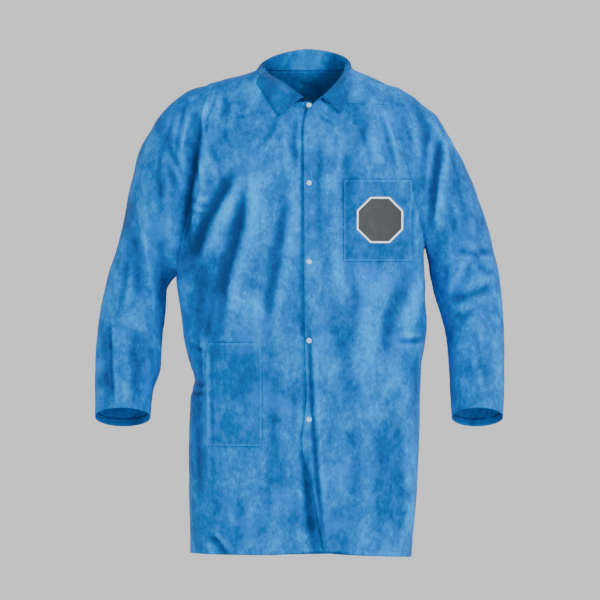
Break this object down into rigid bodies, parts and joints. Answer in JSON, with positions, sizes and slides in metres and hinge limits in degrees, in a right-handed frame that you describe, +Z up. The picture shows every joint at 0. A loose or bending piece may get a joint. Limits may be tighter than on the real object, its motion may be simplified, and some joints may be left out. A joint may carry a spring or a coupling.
{
  "type": "lab coat",
  "caption": "Blue disposable nonwoven lab coat with a turn-down collar, snap front, open cuffs, a chest pocket and a hip pocket.",
  "frame": {"origin": "between the shoulder points, level with the base of the neck, where a wearer or hanger carries the coat", "axes": "+Z up through the collar, -Y out of the snap front, +X to the wearer's left"},
  "size_m": [0.79, 0.3119, 0.989],
  "materials": {
    "nonwoven_body": "matte",
    "nonwoven_sleeve": "matte",
    "nonwoven_collar": "matte",
    "nonwoven_pocket": "matte",
    "label_white": "satin",
    "label_grey": "satin",
    "snap_plastic": "gloss"
  },
  "bodies": {
    "torso": {"back_panel": "nonwoven_body", "shoulder_yoke": "nonwoven_body", "left_front_panel": "nonwoven_body", "right_front_panel": "nonwoven_body", "left_facing": "nonwoven_body", "right_facing": "nonwoven_body", "left_side_hem": "nonwoven_body", "right_side_hem": "nonwoven_body", "back_hem": "nonwoven_body", "collar_stand": "nonwoven_collar", "collar_fall": "nonwoven_collar", "chest_pocket": "nonwoven_pocket", "chest_pocket_hem": "nonwoven_pocket", "hip_pocket": "nonwoven_pocket", "hip_pocket_hem": "nonwoven_pocket", "label_border": "label_white", "label_face": "label_grey", "snap_cap_1": "snap_plastic", "snap_cap_2": "snap_plastic", "snap_socket_1": "snap_plastic", "snap_socket_2": "snap_plastic", "snap_stud_1": "snap_plastic", "snap_stud_2": "snap_plastic", "snap_stud_3": "snap_plastic", "snap_post_1": "snap_plastic", "snap_post_2": "snap_plastic", "snap_post_3": "snap_plastic"},
    "left_flap": {"left_front_flap": "nonwoven_body", "left_flap_facing": "nonwoven_body", "left_flap_hem": "nonwoven_body", "snap_cap_3": "snap_plastic", "snap_cap_4": "snap_plastic", "snap_cap_5": "snap_plastic", "snap_socket_3": "snap_plastic", "snap_socket_4": "snap_plastic", "snap_socket_5": "snap_plastic"},
    "right_flap": {"right_front_flap": "nonwoven_body", "right_flap_facing": "nonwoven_body", "right_flap_hem": "nonwoven_body", "snap_stud_4": "snap_plastic", "snap_stud_5": "snap_plastic", "snap_post_4": "snap_plastic", "snap_post_5": "snap_plastic"},
    "left_upper_sleeve": {"left_sleeve_upper": "nonwoven_sleeve"},
    "left_forearm": {"left_sleeve_lower": "nonwoven_sleeve", "left_cuff_hem": "nonwoven_sleeve"},
    "right_upper_sleeve": {"right_sleeve_upper": "nonwoven_sleeve"},
    "right_forearm": {"right_sleeve_lower": "nonwoven_sleeve", "right_cuff_hem": "nonwoven_sleeve"}
  },
  "joints": [
    {"name": "left_front_open", "type": "hinge", "parent": "torso", "child": "left_flap", "pos_m": [-0.007, -0.1515, -0.205], "axis": [-0.1881, -0.0014, 0.9821], "range_deg": [0, 65]},
    {"name": "right_front_open", "type": "hinge", "parent": "torso", "child": "right_flap", "pos_m": [0.018, -0.148, -0.354], "axis": [-0.2257, -0.0061, -0.9742], "range_deg": [0, 40]},
    {"name": "left_sleeve_lift", "type": "hinge", "parent": "torso", "child": "left_upper_sleeve", "pos_m": [0.156, 0, -0.005], "axis": [0, -1, 0], "range_deg": [0, 60]},
    {"name": "right_sleeve_lift", "type": "hinge", "parent": "torso", "child": "right_upper_sleeve", "pos_m": [-0.156, 0, -0.005], "axis": [0, 1, 0], "range_deg": [0, 60]},
    {"name": "left_elbow_bend", "type": "hinge", "parent": "left_upper_sleeve", "child": "left_forearm", "pos_m": [0.318, -0.083, -0.4], "axis": [-1, 0, 0], "range_deg": [0, 60]},
    {"name": "right_elbow_bend", "type": "hinge", "parent": "right_upper_sleeve", "child": "right_forearm", "pos_m": [-0.318, -0.083, -0.4], "axis": [-1, 0, 0], "range_deg": [0, 60]}
  ],
  "couplings": [
    {"joint": "right_front_open", "follows": "left_front_open", "ratio": 0.6}
  ]
}
